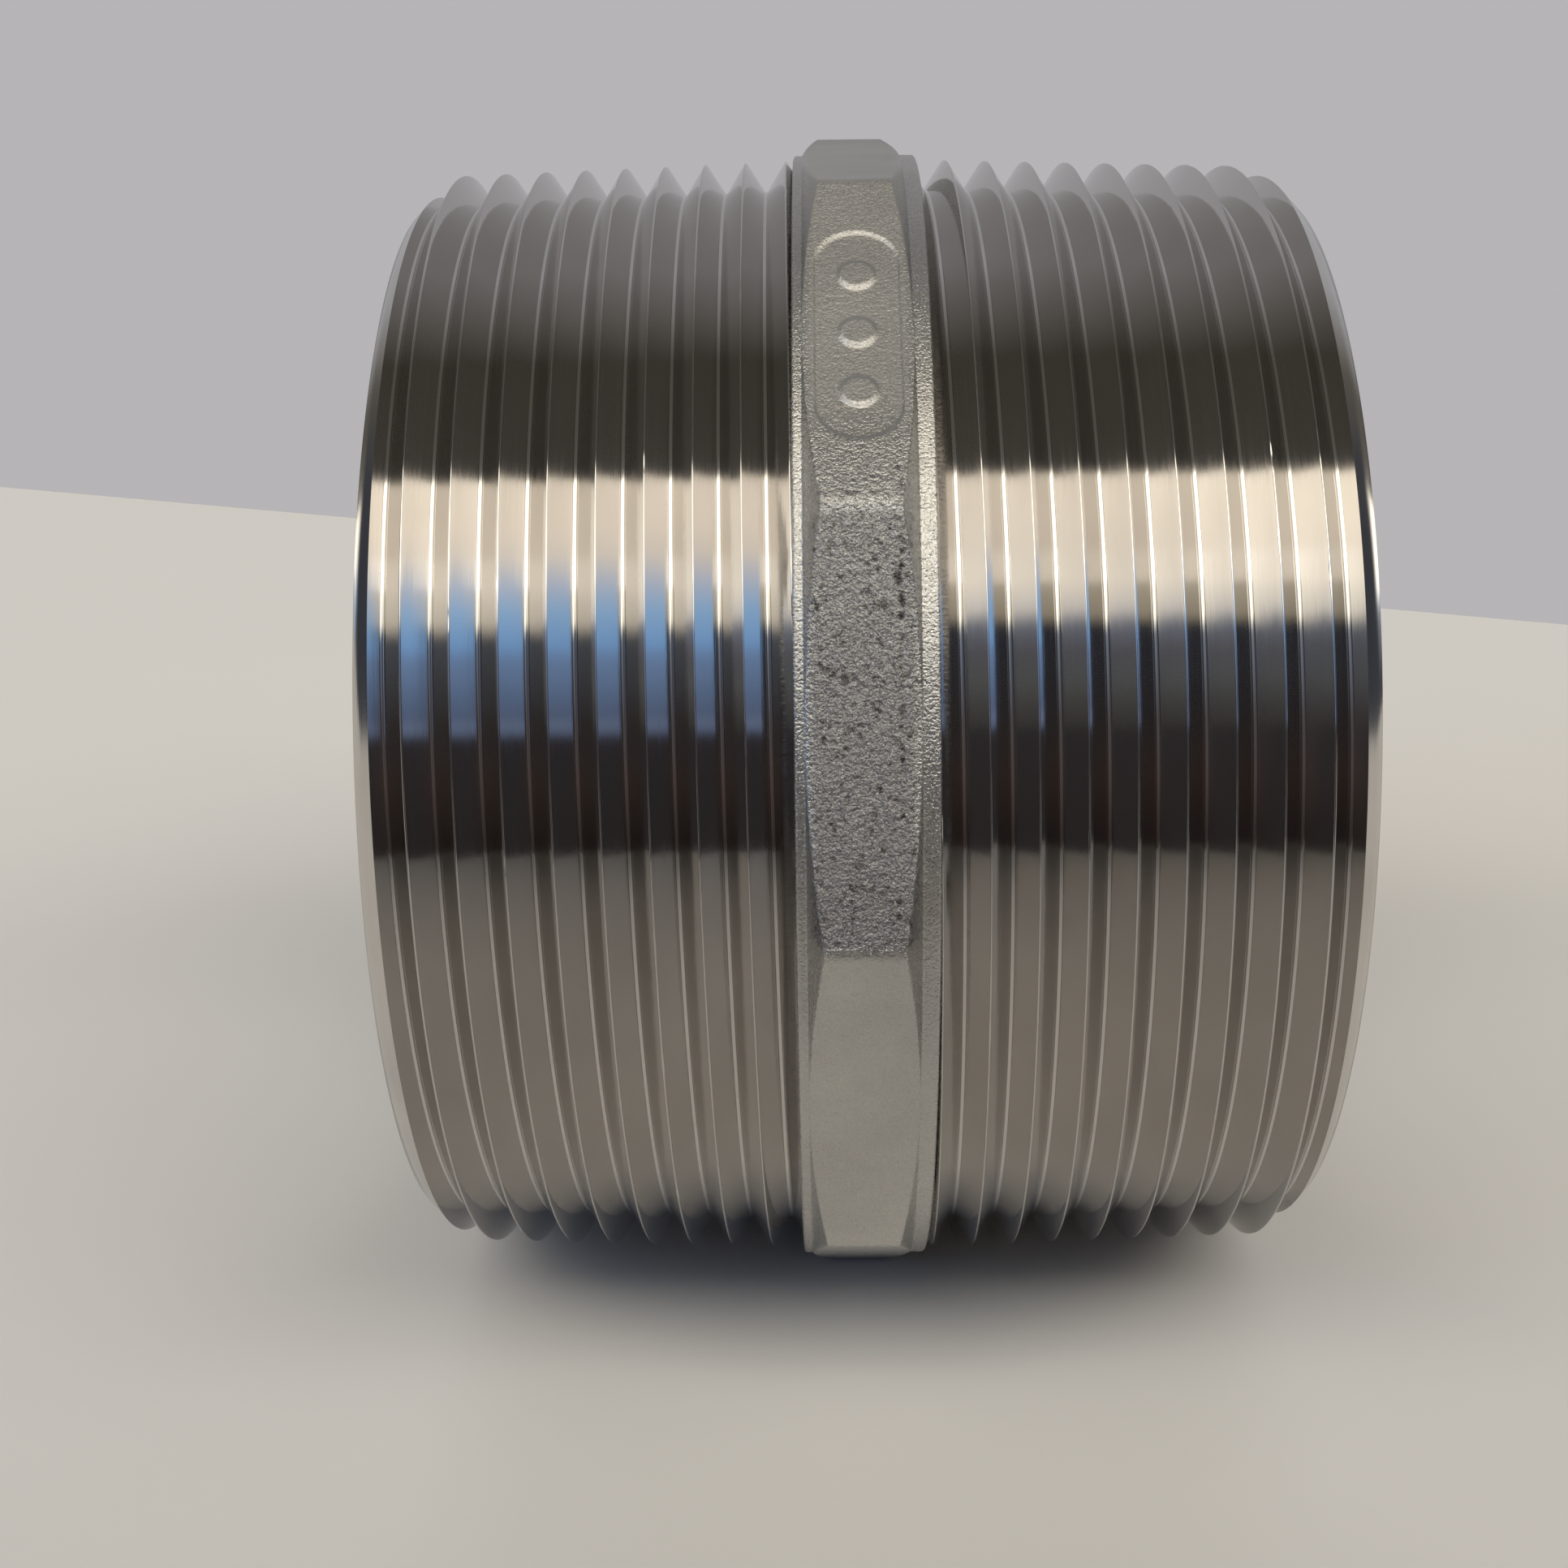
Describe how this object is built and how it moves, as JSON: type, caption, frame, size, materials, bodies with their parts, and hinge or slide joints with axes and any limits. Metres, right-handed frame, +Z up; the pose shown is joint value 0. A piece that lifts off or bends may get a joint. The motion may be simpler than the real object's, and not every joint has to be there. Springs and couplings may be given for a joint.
{
  "type": "hex nipple",
  "caption": "Short stainless pipe nipple with a male taper thread on each end and a collar of wrench flats in the middle.",
  "frame": {"origin": "centre of the collar on the bore axis", "axes": "+X along the bore axis towards the right-hand end, +Z up, with the casting lying on the collar flat that faces -Z"},
  "size_m": [0.0676, 0.0946, 0.09],
  "materials": {
    "stainless_steel": "bright turned threads, matt as-cast collar and bore"
  },
  "bodies": {
    "root": {"nipple_body": "stainless_steel"}
  },
  "joints": []
}
